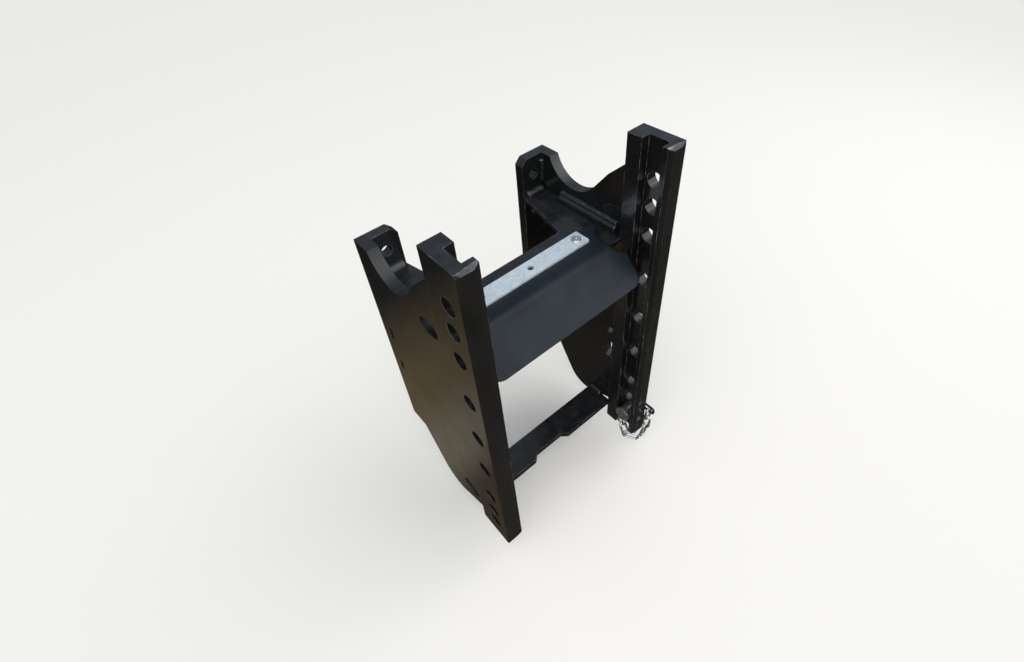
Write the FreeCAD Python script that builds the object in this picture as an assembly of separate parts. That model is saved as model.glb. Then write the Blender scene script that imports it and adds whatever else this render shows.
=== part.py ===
import FreeCAD, Part
import math
import os
from FreeCAD import Vector

# Bolt-on hitch mounting frame for a tractor: two C-shaped guide rails with pin holes
# carry a height-adjustable hitch carriage, two side plates tie them to rear flanges
# that bolt to the tractor, and a shelf with a rubber flap guards the shaft below it.
#
# Millimetres.  X runs across the frame (right is +X), Y from the rails to the
# tractor, Z up.  The frame is drawn from the rails' foot and front face, and moved
# at the end so that the origin lies at the centre of the mounting bolts.

# ---- guide rails ----
RAIL_HEIGHT = 620.0
GAUGE = 311.0                 # between the floors of the two guide grooves
RAIL_WEB = 16.5
FRONT_LIP = 11.5
GROOVE_WIDTH = 32.0
BACK_LIP = 23.5
GROOVE_DEPTH = 14.0
RAIL_NOSE_R = 8.0             # rounded front edge on the outer side
RAIL_INNER_CHAMFER = 5.0
RAIL_TOP_CHAMFER = 5.5
PIN_HOLE_R = 12.75
PIN_PITCH = 84.0
PIN_PITCH_COUNT = 5           # evenly spaced holes in the middle of the rail
PIN_END_STEPS = (49.0, 40.0)  # spacing of the closer holes towards both ends
PIN_MIDDLE_Z = 302.0

# ---- side plates ----
PLATE_THICK = 17.5
PLATE_REAR = 266.0            # rear edge, where the flange meets the tractor
PLATE_FOOT_FRONT_Z = 38.0
BELLY_Y = 160.0
BELLY_Z = -4.0
BELLY_R = 45.0
STEP_Z = 107.0
STEP_DEPTH = 40.0
HORN_Z = 516.0
SADDLE_Y = 178.0
SADDLE_Z = 532.0
SADDLE_R = 53.0
SADDLE_LEAD_ANGLE = 38.5      # where the saddle leaves its arc, below level
SADDLE_LEAD = 48.0            # straight length after the arc
SHOULDER_Z = 574.0            # where the plate's top edge meets the rail

TOP_SLOT = (92.5, 476.0, 41.0, 26.0, -9.0)       # centre y, z, length, width, tilt
BOTTOM_SLOT = (92.0, 67.0, 40.0, 27.0, 24.0)
PLUG_RECESS = 7.0
SLIT_Y = 240.0
SLIT_WIDTH = 8.0
SLITS = ((328.0, 357.0), (259.0, 278.0))         # lowest and highest point of each
LINE_HOLE_Y = 84.0                               # right plate only
LINE_HOLE_Z = 226.0
LINE_HOLE_R = 10.0
LINE_SLOT_Z = 178.0
LINE_SLOT_LENGTH = 45.0

# ---- rear flanges ----
FLANGE_THICK = 17.0
FLANGE_REACH = 40.5           # from the plate's inner face towards the middle
FLANGE_CORNER = 10.0
BOLT_R = 9.0
BOLT_X = 137.0
BOLT_END = 31.0               # outermost bolt to the flange's end
BOLT_PITCH = 70.0

# ---- shelf and lower bar ----
SHELF_TOP = 450.0
SHELF_THICK = 8.0
SHELF_MOUTH = 114.5           # half width of the cut-out at the flanges
SHELF_THROAT = 92.0           # half width at its front
SHELF_FRONT_DEPTH = 75.0
SHELF_THROAT_R = 8.0
BAR_TOP = 26.0
BAR_THICK = 12.0
BAR_FRONT = 75.0
BAR_WIDTH = 52.0
NOTCH_MOUTH = 42.0            # half widths of the notch in the bar's front edge
NOTCH_FLOOR = 30.0
NOTCH_DEPTH = 10.0

# ---- rubber flap ----
FLAP_THICK = 6.0
FLAP_HALF_WIDTH = 137.0
FLAP_REAR = 117.0
FLAP_BEND_Y = 61.0
FLAP_NOTCH_X = 147.0
FLAP_NOTCH_Y = 75.0
FLAP_NOTCH_R = 33.0
FLAP_HANG_HALF_WIDTH = 139.0
FLAP_CORNER_R = 20.0
FLAP_FALL_ANGLE = 59.0        # of the hanging part at its bend, below level
FLAP_LIP_ANGLE = 36.0         # and at its lower edge
FLAP_HANG_LENGTH = 74.0
FLAP_GAP = 0.3
FLAP_RELIEF_ANGLE = 13.0      # slope of the hanging part's end face

# ---- clamp bar and its screws ----
CLAMP_HALF_LENGTH = 101.0
CLAMP_FRONT = 88.0
CLAMP_WIDTH = 28.0
CLAMP_THICK = 4.0
CLAMP_CORNER = 2.0
SPARE_HOLE_R = 4.75
SCREW_X = 87.0
SCREW_R = 4.0
SCREW_CLEARANCE = 0.5
SCREW_HEAD_R = 7.5
SCREW_HEAD_HEIGHT = 2.6
SCREW_END = 5.0               # thread showing below the nut
SOCKET_R = 2.5
SOCKET_DEPTH = 1.6
WASHER_R = 8.0
WASHER_THICK = 1.6
NUT_FLATS = 13.0
NUT_HEIGHT = 6.5
THREAD_CLEARANCE = 0.05

# ---- stop pin ----
STOP_PIN_CLEARANCE = 0.1
STOP_PIN_TIP_INSET = 1.0      # from the rail's outer face
STOP_PIN_CHAMFER = 2.0
STOP_HEAD_R = 15.0
STOP_HEAD_THICK = 4.5
STOP_HEAD_GAP = 0.3
EYE_R = 8.0
EYE_WIRE_R = 2.0
EYE_SEAT = 0.8                # how far the head's rim cuts into the eye

# ---- chain ----
LINK_LENGTH = 34.0
LINK_WIDTH = 17.0
LINK_WIRE_R = 2.1
LINK_PLAY = 0.6
LOOSE_PLAY = 2.6              # more room where link 2 leans across link 1
CHAIN_GAP = 0.5               # between the chain and the rail's front face
STAPLE_X = 169.0
STAPLE_Z = 66.0
STAPLE_RISE = 13.0
STAPLE_WIRE_R = 2.25
STAPLE_BEND_R = 4.0

# ---- welds ----
SHELF_WELD = (10.0, 19.0)     # legs on the shelf and on the plate
SHELF_WELD_RUN = (80.0, 204.0)
FLANGE_WELD_LEG = 10.0
FLANGE_WELD_INSET = 3.0       # from the flange's free edge
CORNER_WELD_LEG = 6.0
CORNER_WELD_RUNS = ((120.0, 250.0), (286.0, 320.0), (366.0, 434.0), (466.0, 506.0))
RAIL_WELD_RUNS = ((110.0, 165.0), (245.0, 300.0), (370.0, 430.0), (475.0, 545.0))
BAR_WELD_LEG = 9.0
BEAD_BULGE = 0.18

# ---- sizes that follow ----
RAIL_DEPTH = FRONT_LIP + GROOVE_WIDTH + BACK_LIP
GROOVE_FLOOR = GAUGE / 2
OUTER = GROOVE_FLOOR + RAIL_WEB
LIP_INNER = GROOVE_FLOOR - GROOVE_DEPTH
PLATE_INNER = OUTER - PLATE_THICK
PIN_Y = FRONT_LIP + GROOVE_WIDTH / 2
FLANGE_FRONT = PLATE_REAR - FLANGE_THICK
FLANGE_INNER = PLATE_INNER - FLANGE_REACH
SHELF_BOTTOM = SHELF_TOP - SHELF_THICK
FLAP_TOP = SHELF_TOP + FLAP_THICK
CLAMP_TOP = FLAP_TOP + CLAMP_THICK
CLAMP_Y = CLAMP_FRONT + CLAMP_WIDTH / 2
BOLT_TOP_Z = HORN_Z - BOLT_END
BOLT_LOW_Z = STEP_Z + BOLT_END
EYE_DROP = STOP_HEAD_R + EYE_R + EYE_WIRE_R - EYE_SEAT
MOUNT_Y = PLATE_REAR
MOUNT_Z = (BOLT_TOP_Z + BOLT_LOW_Z) / 2

X_AXIS = Vector(1, 0, 0)
Y_AXIS = Vector(0, 1, 0)
Z_AXIS = Vector(0, 0, 1)


# ---- drawing helpers ----

def in_yz(x):
    """Places a drawn point (y, z) in the plane at x."""
    return lambda y, z: Vector(x, y, z)


def in_xy(z):
    """Places a drawn point (x, y) in the plane at z."""
    return lambda x, y: Vector(x, y, z)


def corner_round(before, corner, after, radius):
    """Start, middle and end of the arc that rounds a corner between two others."""
    corner = Vector(corner[0], corner[1], 0)
    back = (Vector(before[0], before[1], 0) - corner).normalize()
    ahead = (Vector(after[0], after[1], 0) - corner).normalize()
    half = back.getAngle(ahead) / 2
    reach = radius / math.tan(half)
    inward = (back + ahead).normalize()
    middle = corner + inward * (radius / math.sin(half) - radius)
    return corner + back * reach, middle, corner + ahead * reach


def outline(corners, place):
    """Closed wire through corners (a, b) or (a, b, radius); "arc" entries are
    ("arc", (mid_a, mid_b), (end_a, end_b)) and follow the corner before them."""
    stops = []
    count = len(corners)
    for index, corner in enumerate(corners):
        if corner[0] == "arc":
            stops.append(("arc", Vector(*corner[1], 0), Vector(*corner[2], 0)))
            continue
        if len(corner) == 2 or corner[2] == 0:
            stops.append(("to", Vector(corner[0], corner[1], 0)))
            continue
        before = corners[index - 1]
        after = corners[(index + 1) % count]
        before = before[2] if before[0] == "arc" else before
        start, middle, end = corner_round(before, corner, after, corner[2])
        stops.append(("to", start))
        stops.append(("arc", middle, end))
    edges = []
    first = stops[0][1]
    here = first
    for stop in stops[1:]:
        end = stop[-1]
        if stop[0] == "arc":
            edges.append(Part.Arc(place(here.x, here.y), place(stop[1].x, stop[1].y),
                                  place(end.x, end.y)).toShape())
        elif (end - here).Length > 1e-6:
            edges.append(Part.LineSegment(place(here.x, here.y), place(end.x, end.y)).toShape())
        here = end
    if (first - here).Length > 1e-6:
        edges.append(Part.LineSegment(place(here.x, here.y), place(first.x, first.y)).toShape())
    return Part.Wire(edges)


def prism(wire, along):
    return Part.Face(wire).extrude(along)


def cylinder(radius, start, end):
    along = end - start
    return Part.makeCylinder(radius, along.Length, start, along)


def fused(solids):
    whole = solids[0]
    for solid in solids[1:]:
        whole = whole.fuse(solid)
    return whole.removeSplitter().Solids[0]


def cut_all(solid, tools):
    for tool in tools:
        solid = solid.cut(tool)
    return solid.Solids[0]


def mirrored(shape):
    return shape.mirror(Vector(0, 0, 0), X_AXIS)


def bent_wire(points, bend_r, wire_r):
    """Round wire along straight runs joined by bends."""
    pieces = []
    here = points[0]
    for index in range(1, len(points) - 1):
        corner = points[index]
        back = (points[index - 1] - corner).normalize()
        ahead = (points[index + 1] - corner).normalize()
        half = back.getAngle(ahead) / 2
        reach = bend_r / math.tan(half)
        start = corner + back * reach
        centre = corner + (back + ahead).normalize() * (bend_r / math.sin(half))
        turn = back.cross(ahead).normalize()
        pieces.append(cylinder(wire_r, here, start))
        ring = Part.Circle(Vector(0, 0, 0), Z_AXIS, wire_r)
        section = Part.Face(Part.Wire(ring.toShape()))
        section.Placement = FreeCAD.Placement(start, FreeCAD.Rotation(Z_AXIS, back))
        sweep = 180 - math.degrees(2 * half)
        pieces.append(section.revolve(centre, turn, -sweep))
        here = corner + ahead * reach
    pieces.append(cylinder(wire_r, here, points[-1]))
    return fused(pieces)


# ---- guide rails ----

def pin_hole_heights():
    """Heights of the rail's pin holes, from the foot up."""
    half = (PIN_PITCH_COUNT - 1) / 2
    heights = [PIN_MIDDLE_Z + PIN_PITCH * (step - half) for step in range(PIN_PITCH_COUNT)]
    for step in PIN_END_STEPS:
        heights.insert(0, heights[0] - step)
        heights.append(heights[-1] + step)
    return heights


def guide_rail():
    """Right rail: a C that opens inwards, with a row of pin holes through its web."""
    groove_back = FRONT_LIP + GROOVE_WIDTH
    section = outline([
        (LIP_INNER + 1.6 * RAIL_INNER_CHAMFER, 0),
        (OUTER, 0, RAIL_NOSE_R),
        (OUTER, RAIL_DEPTH),
        (LIP_INNER, RAIL_DEPTH),
        (LIP_INNER, groove_back),
        (GROOVE_FLOOR, groove_back),
        (GROOVE_FLOOR, FRONT_LIP),
        (LIP_INNER, FRONT_LIP),
        (LIP_INNER, RAIL_INNER_CHAMFER),
    ], in_xy(0))
    rail = prism(section, Z_AXIS * RAIL_HEIGHT)
    top_edge = outline([
        (0, RAIL_HEIGHT - RAIL_TOP_CHAMFER),
        (0, RAIL_HEIGHT),
        (RAIL_TOP_CHAMFER, RAIL_HEIGHT),
    ], in_yz(LIP_INNER))
    tools = [prism(top_edge, X_AXIS * (OUTER - LIP_INNER))]
    for height in pin_hole_heights():
        tools.append(cylinder(PIN_HOLE_R, Vector(GROOVE_FLOOR, PIN_Y, height),
                              Vector(OUTER, PIN_Y, height)))
    return cut_all(rail, tools)


# ---- side plates ----

def long_hole(centre_y, centre_z, length, width, tilt, x_from, x_to):
    """Round-ended hole through a side plate, tilted about its own centre."""
    half = (length - width) / 2
    r = width / 2
    wire = outline([
        (centre_y - half, centre_z - r),
        (centre_y + half, centre_z - r),
        ("arc", (centre_y + half + r, centre_z), (centre_y + half, centre_z + r)),
        (centre_y - half, centre_z + r),
        ("arc", (centre_y - half - r, centre_z), (centre_y - half, centre_z - r)),
    ], in_yz(x_from))
    tool = prism(wire, X_AXIS * (x_to - x_from))
    tool.rotate(Vector(0, centre_y, centre_z), X_AXIS, tilt)
    return tool


def through_slots(x_from, x_to):
    """The two tilted slots that are later filled with weld."""
    return [long_hole(*slot, x_from, x_to) for slot in (TOP_SLOT, BOTTOM_SLOT)]


def side_plate():
    """Plate behind the rail, with the saddle in its top edge and the belly below."""
    lead = math.radians(SADDLE_LEAD_ANGLE)
    horn_y = SADDLE_Y + math.sqrt(SADDLE_R ** 2 - (SADDLE_Z - HORN_Z) ** 2)
    leave_y = SADDLE_Y - SADDLE_R * math.cos(lead)
    leave_z = SADDLE_Z - SADDLE_R * math.sin(lead)
    wire = outline([
        (RAIL_DEPTH, PLATE_FOOT_FRONT_Z),
        (BELLY_Y, BELLY_Z, BELLY_R),
        (PLATE_REAR - STEP_DEPTH, STEP_Z),
        (PLATE_REAR, STEP_Z),
        (PLATE_REAR, HORN_Z),
        (horn_y, HORN_Z),
        ("arc", (SADDLE_Y, SADDLE_Z - SADDLE_R), (leave_y, leave_z)),
        (leave_y - SADDLE_LEAD * math.sin(lead), leave_z + SADDLE_LEAD * math.cos(lead)),
        (RAIL_DEPTH, SHOULDER_Z),
    ], in_yz(PLATE_INNER))
    plate = prism(wire, X_AXIS * PLATE_THICK)
    tools = through_slots(PLATE_INNER, OUTER)
    for low, high in SLITS:
        tools.append(long_hole(SLIT_Y, (low + high) / 2, high - low, SLIT_WIDTH, 90,
                               PLATE_INNER, OUTER))
    return cut_all(plate, tools)


def right_side_plate():
    """The right plate also has two holes for lines, close behind its rail."""
    round_hole = cylinder(LINE_HOLE_R, Vector(PLATE_INNER, LINE_HOLE_Y, LINE_HOLE_Z),
                          Vector(OUTER, LINE_HOLE_Y, LINE_HOLE_Z))
    slot = long_hole(LINE_HOLE_Y, LINE_SLOT_Z, LINE_SLOT_LENGTH, 2 * LINE_HOLE_R, 90,
                     PLATE_INNER, OUTER)
    return cut_all(side_plate(), [round_hole, slot])


def slot_plugs():
    """Weld metal in both slots of the right plate, flush on the plate's inner side."""
    return through_slots(PLATE_INNER, OUTER - PLUG_RECESS)


# ---- rear flanges ----

def bolt_heights():
    return [BOLT_TOP_Z, BOLT_TOP_Z - BOLT_PITCH, BOLT_LOW_Z + BOLT_PITCH, BOLT_LOW_Z]


def rear_flange():
    """Right flange, butted against the plate's inner face and drilled for the bolts."""
    wire = outline([
        (FLANGE_INNER, FLANGE_FRONT),
        (PLATE_INNER, FLANGE_FRONT),
        (PLATE_INNER, PLATE_REAR),
        (FLANGE_INNER, PLATE_REAR),
    ], in_xy(STEP_Z))
    flange = prism(wire, Z_AXIS * (HORN_Z - STEP_Z))
    corner = Part.Face(Part.makePolygon([
        Vector(FLANGE_INNER, FLANGE_FRONT, HORN_Z - FLANGE_CORNER),
        Vector(FLANGE_INNER + FLANGE_CORNER, FLANGE_FRONT, HORN_Z),
        Vector(FLANGE_INNER, FLANGE_FRONT, HORN_Z),
        Vector(FLANGE_INNER, FLANGE_FRONT, HORN_Z - FLANGE_CORNER),
    ])).extrude(Y_AXIS * FLANGE_THICK)
    tools = [corner]
    for height in bolt_heights():
        tools.append(cylinder(BOLT_R, Vector(BOLT_X, FLANGE_FRONT, height),
                              Vector(BOLT_X, PLATE_REAR, height)))
    return cut_all(flange, tools)


# ---- shelf and lower bar ----

def screw_hole(radius, x, bottom, top):
    return cylinder(radius, Vector(x, CLAMP_Y, bottom), Vector(x, CLAMP_Y, top))


def cross_shelf():
    """Shelf between the plates, open at the back around the driven shaft."""
    throat_y = RAIL_DEPTH + SHELF_FRONT_DEPTH
    wire = outline([
        (-PLATE_INNER, RAIL_DEPTH),
        (PLATE_INNER, RAIL_DEPTH),
        (PLATE_INNER, FLANGE_FRONT),
        (SHELF_MOUTH, FLANGE_FRONT),
        (SHELF_THROAT, throat_y, SHELF_THROAT_R),
        (-SHELF_THROAT, throat_y, SHELF_THROAT_R),
        (-SHELF_MOUTH, FLANGE_FRONT),
        (-PLATE_INNER, FLANGE_FRONT),
    ], in_xy(SHELF_BOTTOM))
    shelf = prism(wire, Z_AXIS * SHELF_THICK)
    hole_r = SCREW_R + SCREW_CLEARANCE
    return cut_all(shelf, [screw_hole(hole_r, x, SHELF_BOTTOM, SHELF_TOP)
                           for x in (-SCREW_X, SCREW_X)])


def lower_cross_bar():
    """Flat bar that ties the feet of the plates, notched in its front edge."""
    notch_y = BAR_FRONT + NOTCH_DEPTH
    wire = outline([
        (-PLATE_INNER, BAR_FRONT),
        (-NOTCH_MOUTH, BAR_FRONT),
        (-NOTCH_FLOOR, notch_y),
        (NOTCH_FLOOR, notch_y),
        (NOTCH_MOUTH, BAR_FRONT),
        (PLATE_INNER, BAR_FRONT),
        (PLATE_INNER, BAR_FRONT + BAR_WIDTH),
        (-PLATE_INNER, BAR_FRONT + BAR_WIDTH),
    ], in_xy(BAR_TOP - BAR_THICK))
    return prism(wire, Z_AXIS * BAR_THICK)


# ---- welds ----

def bead(corner, side_a, side_b, run):
    """Convex fillet weld: legs side_a and side_b out of an inner corner, along run."""
    end_a = corner + side_a
    end_b = corner + side_b
    swell = (side_a + side_b) * BEAD_BULGE
    middle = (end_a + end_b) * 0.5 + swell
    wire = Part.Wire([
        Part.LineSegment(corner, end_a).toShape(),
        Part.Arc(end_a, middle, end_b).toShape(),
        Part.LineSegment(end_b, corner).toShape(),
    ])
    return Part.Face(wire).extrude(run)


def shelf_side_weld():
    start, end = SHELF_WELD_RUN
    leg_x, leg_z = SHELF_WELD
    return bead(Vector(PLATE_INNER, start, SHELF_TOP), X_AXIS * -leg_x, Z_AXIS * leg_z,
                Y_AXIS * (end - start))


def shelf_flange_weld():
    start = FLANGE_INNER + FLANGE_WELD_INSET
    return bead(Vector(start, FLANGE_FRONT, SHELF_TOP), Y_AXIS * -FLANGE_WELD_LEG,
                Z_AXIS * FLANGE_WELD_LEG, X_AXIS * (PLATE_INNER - start))


def flange_plate_weld():
    leg = CORNER_WELD_LEG
    return [bead(Vector(PLATE_INNER, FLANGE_FRONT, low), X_AXIS * -leg, Y_AXIS * -leg,
                 Z_AXIS * (high - low)) for low, high in CORNER_WELD_RUNS]


def rail_plate_weld():
    leg = CORNER_WELD_LEG
    return [bead(Vector(PLATE_INNER, RAIL_DEPTH, low), X_AXIS * -leg, Y_AXIS * leg,
                 Z_AXIS * (high - low)) for low, high in RAIL_WELD_RUNS]


def cross_bar_weld():
    """Along the bar's end, where the plate stands above the bar."""
    fall = (PLATE_FOOT_FRONT_Z - BELLY_Z) / (BELLY_Y - RAIL_DEPTH)
    start = RAIL_DEPTH + (PLATE_FOOT_FRONT_Z - BAR_TOP) / fall + 1
    end = BAR_FRONT + BAR_WIDTH
    return bead(Vector(PLATE_INNER, start, BAR_TOP), X_AXIS * -BAR_WELD_LEG,
                Z_AXIS * BAR_WELD_LEG, Y_AXIS * (end - start))


# ---- rubber flap ----

def flap_clamped():
    """The part of the rubber sheet that lies on the shelf."""
    wire = outline([
        (-FLAP_HALF_WIDTH, FLAP_BEND_Y),
        (FLAP_HALF_WIDTH, FLAP_BEND_Y),
        (FLAP_HALF_WIDTH, FLAP_REAR),
        (-FLAP_HALF_WIDTH, FLAP_REAR),
    ], in_xy(SHELF_TOP))
    sheet = prism(wire, Z_AXIS * FLAP_THICK)
    tools = []
    for side in (-1, 1):
        centre = Vector(side * FLAP_NOTCH_X, FLAP_NOTCH_Y, SHELF_TOP)
        tools.append(cylinder(FLAP_NOTCH_R, centre, centre + Z_AXIS * FLAP_THICK))
        tools.append(screw_hole(SCREW_R + SCREW_CLEARANCE, side * SCREW_X, SHELF_TOP, FLAP_TOP))
    return cut_all(sheet, tools)


def flap_hanging():
    """The part that falls from the shelf's front edge and flares out at its lip."""
    bend = Vector(0, FLAP_BEND_Y - FLAP_GAP, FLAP_TOP)
    fall = math.radians(FLAP_FALL_ANGLE)
    lip = math.radians(FLAP_LIP_ANGLE)
    curve_r = FLAP_HANG_LENGTH / (fall - lip)
    centre = bend + Vector(0, -math.sin(fall), math.cos(fall)) * curve_r

    def on_sheet(depth, angle):
        away = Vector(0, math.sin(angle), -math.cos(angle))
        return centre + away * (curve_r + depth)

    middle = (fall + lip) / 2
    under = FLAP_THICK
    wire = Part.Wire([
        Part.Arc(on_sheet(0, fall), on_sheet(0, middle), on_sheet(0, lip)).toShape(),
        Part.LineSegment(on_sheet(0, lip), on_sheet(under, lip)).toShape(),
        Part.Arc(on_sheet(under, lip), on_sheet(under, middle), on_sheet(under, fall)).toShape(),
        Part.LineSegment(on_sheet(under, fall), on_sheet(0, fall)).toShape(),
    ])
    half = FLAP_HANG_HALF_WIDTH
    sheet = Part.Face(wire).extrude(X_AXIS * (2 * half))
    sheet.translate(X_AXIS * -half)
    # the end face slopes back from the bend, so that the sheet can swing both ways
    slope = math.tan(math.radians(FLAP_RELIEF_ANGLE))
    depth = 4 * FLAP_THICK
    trim = Part.Face(Part.makePolygon([
        bend,
        bend + Vector(0, -depth * slope, -depth),
        bend + Vector(0, depth, -depth),
        bend + Vector(0, depth, 0),
        bend,
    ])).extrude(X_AXIS * (2 * half))
    trim.translate(X_AXIS * -half)
    tools = [trim]
    # the side notches run on over the bend, and the lower corners are round
    reach = FLAP_BEND_Y - FLAP_NOTCH_Y
    notch_angle = fall + reach / curve_r * -1
    corner_angle = lip + FLAP_CORNER_R / curve_r
    for side in (-1, 1):
        tools.append(cylinder(FLAP_NOTCH_R, on_sheet(-depth, notch_angle) + X_AXIS * side * FLAP_NOTCH_X,
                              on_sheet(depth, notch_angle) + X_AXIS * side * FLAP_NOTCH_X))
        tools.append(corner_tool(on_sheet(-depth, corner_angle), on_sheet(depth, corner_angle),
                                 on_sheet(0, lip), side))
    return cut_all(sheet, tools)


def corner_tool(near, far, lip_point, side):
    """What a round lower corner of the hanging sheet leaves out."""
    through = far - near
    down = (lip_point - (near + through * 0.5))
    normal = through * (1 / through.Length)
    down = (down - normal * down.dot(normal)).normalize()
    centre = near + X_AXIS * side * (FLAP_HANG_HALF_WIDTH - FLAP_CORNER_R)
    wide = FLAP_CORNER_R + 4
    square = Part.Face(Part.makePolygon([
        centre,
        centre + X_AXIS * side * wide,
        centre + X_AXIS * side * wide + down * wide,
        centre + down * wide,
        centre,
    ])).extrude(through)
    return square.cut(Part.makeCylinder(FLAP_CORNER_R, through.Length, centre, through))


# ---- clamp bar and its screws ----

def clamp_bar():
    wire = outline([
        (-CLAMP_HALF_LENGTH, CLAMP_FRONT, CLAMP_CORNER),
        (CLAMP_HALF_LENGTH, CLAMP_FRONT, CLAMP_CORNER),
        (CLAMP_HALF_LENGTH, CLAMP_FRONT + CLAMP_WIDTH, CLAMP_CORNER),
        (-CLAMP_HALF_LENGTH, CLAMP_FRONT + CLAMP_WIDTH, CLAMP_CORNER),
    ], in_xy(FLAP_TOP))
    bar = prism(wire, Z_AXIS * CLAMP_THICK)
    tools = [screw_hole(SPARE_HOLE_R, 0, FLAP_TOP, CLAMP_TOP)]
    for x in (-SCREW_X, SCREW_X):
        tools.append(screw_hole(SCREW_R + SCREW_CLEARANCE, x, FLAP_TOP, CLAMP_TOP))
    return cut_all(bar, tools)


def clamp_screw(x):
    """Low round head with a hexagon socket, and the shank down through the nut."""
    nut_bottom = SHELF_BOTTOM - WASHER_THICK - NUT_HEIGHT
    shank = screw_hole(SCREW_R, x, nut_bottom - SCREW_END, CLAMP_TOP)
    head = screw_hole(SCREW_HEAD_R, x, CLAMP_TOP, CLAMP_TOP + SCREW_HEAD_HEIGHT)
    rim = [edge for edge in head.Edges
           if abs(edge.BoundBox.ZMin - CLAMP_TOP - SCREW_HEAD_HEIGHT) < 1e-6
           and edge.BoundBox.ZLength < 1e-6]
    head = head.makeFillet(SCREW_HEAD_HEIGHT * 0.7, rim)
    socket = hexagon(SOCKET_R, Vector(x, CLAMP_Y, CLAMP_TOP + SCREW_HEAD_HEIGHT - SOCKET_DEPTH),
                     SOCKET_DEPTH)
    return fused([head, shank]).cut(socket)


def hexagon(corner_r, centre, height):
    corners = []
    for step in range(7):
        turn = math.radians(60 * step)
        corners.append(centre + Vector(math.cos(turn), math.sin(turn), 0) * corner_r)
    return Part.Face(Part.makePolygon(corners)).extrude(Z_AXIS * height)


def clamp_washer(x):
    bottom = SHELF_BOTTOM - WASHER_THICK
    disc = screw_hole(WASHER_R, x, bottom, SHELF_BOTTOM)
    return disc.cut(screw_hole(SCREW_R + SCREW_CLEARANCE, x, bottom, SHELF_BOTTOM))


def clamp_nut(x):
    top = SHELF_BOTTOM - WASHER_THICK
    bottom = top - NUT_HEIGHT
    body = hexagon(NUT_FLATS / math.sqrt(3), Vector(x, CLAMP_Y, bottom), NUT_HEIGHT)
    cone_r = NUT_FLATS / math.sqrt(3)
    rounding = Part.makeCone(NUT_FLATS / 2, NUT_FLATS / 2 + NUT_HEIGHT * 1.7, NUT_HEIGHT,
                             Vector(x, CLAMP_Y, bottom), Z_AXIS)
    body = body.common(rounding.common(screw_hole(cone_r, x, bottom, top)))
    return body.cut(screw_hole(SCREW_R + THREAD_CLEARANCE, x, bottom, top))


# ---- stop pin ----

def stop_pin_height():
    return pin_hole_heights()[0]


def stop_head_inner():
    """Inner face of the pin's head, just clear of the groove's mouth."""
    return LIP_INNER - STOP_HEAD_GAP - STOP_HEAD_THICK


def stop_pin():
    """Plain round shank from the head through the lowest hole of the right rail."""
    height = stop_pin_height()
    radius = PIN_HOLE_R - STOP_PIN_CLEARANCE
    start = Vector(stop_head_inner() + STOP_HEAD_THICK, PIN_Y, height)
    end = Vector(OUTER - STOP_PIN_TIP_INSET, PIN_Y, height)
    neck = Vector(end.x - STOP_PIN_CHAMFER, PIN_Y, height)
    tip = Part.makeCone(radius, radius - STOP_PIN_CHAMFER, STOP_PIN_CHAMFER, neck, X_AXIS)
    return fused([cylinder(radius, start, neck), tip])


def stop_pin_head():
    height = stop_pin_height()
    start = Vector(stop_head_inner(), PIN_Y, height)
    return cylinder(STOP_HEAD_R, start, start + X_AXIS * STOP_HEAD_THICK)


def eye_centre():
    return Vector(stop_head_inner() + STOP_HEAD_THICK / 2, PIN_Y, stop_pin_height() - EYE_DROP)


def stop_pin_eye():
    """Wire eye welded to the lower rim of the head."""
    ring = Part.makeTorus(EYE_R, EYE_WIRE_R, eye_centre(), X_AXIS)
    return ring.cut(stop_pin_head())


# ---- chain ----

LINK_SPAN = LINK_LENGTH - 2 * LINK_WIRE_R        # between the centres of a link's two ends
HOOK = 2 * LINK_WIRE_R + LINK_PLAY               # between the wires of two hooked links
CHAIN_Y = -(LINK_WIDTH / 2 + CHAIN_GAP)
HANG_1 = Vector(0, -0.45, -0.89).normalize()     # the way each link hangs
HANG_2 = Vector(0.44, -0.70, -0.03).normalize()
ACROSS_2 = Vector(0.2, 0, 1)
HANG_3 = Vector(-0.46, 0, -1).normalize()
HANG_4 = Vector(-0.05, 0, -1).normalize()
HANG_5 = Vector(-0.02, 0, -1).normalize()


def chain_link(upper, lower, across):
    """Oval link between the wire centres of its two ends, its width along across."""
    way = (lower - upper).normalize()
    across = (across - way * across.dot(way)).normalize()
    bend_r = LINK_WIDTH / 2 - LINK_WIRE_R
    straight = (lower - upper).Length - 2 * bend_r
    bow = Part.makeTorus(bend_r, LINK_WIRE_R, Vector(0, straight / 2, 0), Z_AXIS, -180, 180, 180)
    other = bow.copy()
    other.rotate(Vector(0, 0, 0), Z_AXIS, 180)
    sides = [cylinder(LINK_WIRE_R, Vector(x, -straight / 2, 0), Vector(x, straight / 2, 0))
             for x in (-bend_r, bend_r)]
    link = fused([bow, other] + sides)
    normal = across.cross(way)
    middle = (upper + lower) * 0.5
    link.Placement = FreeCAD.Placement(FreeCAD.Matrix(
        across.x, way.x, normal.x, middle.x,
        across.y, way.y, normal.y, middle.y,
        across.z, way.z, normal.z, middle.z,
        0, 0, 0, 1))
    return link


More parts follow.
